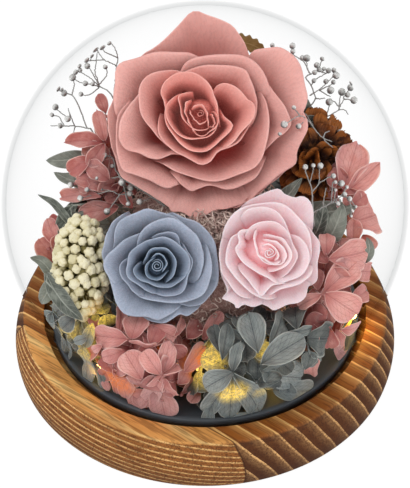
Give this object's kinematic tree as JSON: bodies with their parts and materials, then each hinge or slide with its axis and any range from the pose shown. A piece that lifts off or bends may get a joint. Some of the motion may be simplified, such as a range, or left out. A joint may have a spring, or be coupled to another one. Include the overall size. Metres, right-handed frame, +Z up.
{
  "type": "preserved rose in glass dome",
  "caption": "Preserved roses and dried flowers on a moss mound under a clear glass globe, standing on a round scorched pine base with small warm lights.",
  "frame": {"origin": "centre of the wooden base's underside, where it stands on a table", "axes": "+Z up; -Y is the front, where the roses face; +X is to the right seen from the front"},
  "size_m": [0.2, 0.2, 0.1965],
  "materials": {
    "scorched_pine": "brushed and scorched, satin lacquer",
    "box_plastic": "fine matt moulding",
    "tray_plastic": "fine matt moulding",
    "clear_glass": "clear, polished",
    "copper_wire": "thin bare copper with clear lamp drops",
    "pale_moss": "curly fibres",
    "dusty_petal": "velvety, finely veined",
    "blue_petal": "velvety, finely veined",
    "pale_petal": "velvety, finely veined",
    "pink_sepal": "papery, veined",
    "grey_sepal": "papery, veined",
    "cream_bud": "scaly, matt",
    "dried_brown": "dry, ruffled",
    "grey_leaf": "dry, matt",
    "bronze_leaf": "dry, rough",
    "silver_sprig": "dried twigs with a silvery coat"
  },
  "bodies": {
    "root": {"wood_base": "scorched_pine", "battery_box": "box_plastic", "black_tray": "tray_plastic", "glass_globe": "clear_glass", "light_string": "copper_wire", "moss_mound": "pale_moss", "dusty_rose_heart": "dusty_petal", "dusty_rose_petal_1": "dusty_petal", "dusty_rose_petal_2": "dusty_petal", "dusty_rose_petal_3": "dusty_petal", "dusty_rose_petal_4": "dusty_petal", "dusty_rose_petal_5": "dusty_petal", "dusty_rose_petal_6": "dusty_petal", "dusty_rose_petal_7": "dusty_petal", "dusty_rose_petal_8": "dusty_petal", "dusty_rose_petal_9": "dusty_petal", "dusty_rose_petal_10": "dusty_petal", "dusty_rose_petal_11": "dusty_petal", "dusty_rose_petal_12": "dusty_petal", "dusty_rose_petal_13": "dusty_petal", "dusty_rose_petal_14": "dusty_petal", "blue_rose_heart": "blue_petal", "blue_rose_petal_1": "blue_petal", "blue_rose_petal_2": "blue_petal", "blue_rose_petal_3": "blue_petal", "blue_rose_petal_4": "blue_petal", "blue_rose_petal_5": "blue_petal", "blue_rose_petal_6": "blue_petal", "blue_rose_petal_7": "blue_petal", "pink_rose_heart": "pale_petal", "pink_rose_petal_1": "pale_petal", "pink_rose_petal_2": "pale_petal", "pink_rose_petal_3": "pale_petal", "pink_rose_petal_4": "pale_petal", "pink_rose_petal_5": "pale_petal", "pink_rose_petal_6": "pale_petal", "pink_rose_petal_7": "pale_petal", "leaf_left_1": "grey_leaf", "leaf_left_2": "grey_leaf", "leaf_left_3": "grey_leaf", "leaf_right_1": "grey_leaf", "leaf_right_2": "grey_leaf", "leaf_back": "bronze_leaf", "sprig_upper_left": "silver_sprig", "sprig_left": "silver_sprig", "sprig_middle_left": "silver_sprig", "sprig_upper_right": "silver_sprig", "sprig_right": "silver_sprig", "berry_cluster": "cream_bud", "brown_flower": "dried_brown", "pink_hydrangea_front": "pink_sepal", "pink_hydrangea_right": "pink_sepal", "pink_hydrangea_far_right": "pink_sepal", "pink_hydrangea_upper_left": "pink_sepal", "pink_hydrangea_far_left": "pink_sepal", "pink_hydrangea_back": "pink_sepal", "grey_hydrangea_front": "grey_sepal", "grey_hydrangea_left": "grey_sepal", "grey_hydrangea_back_left": "grey_sepal", "grey_hydrangea_back_right": "grey_sepal"}
  },
  "joints": []
}
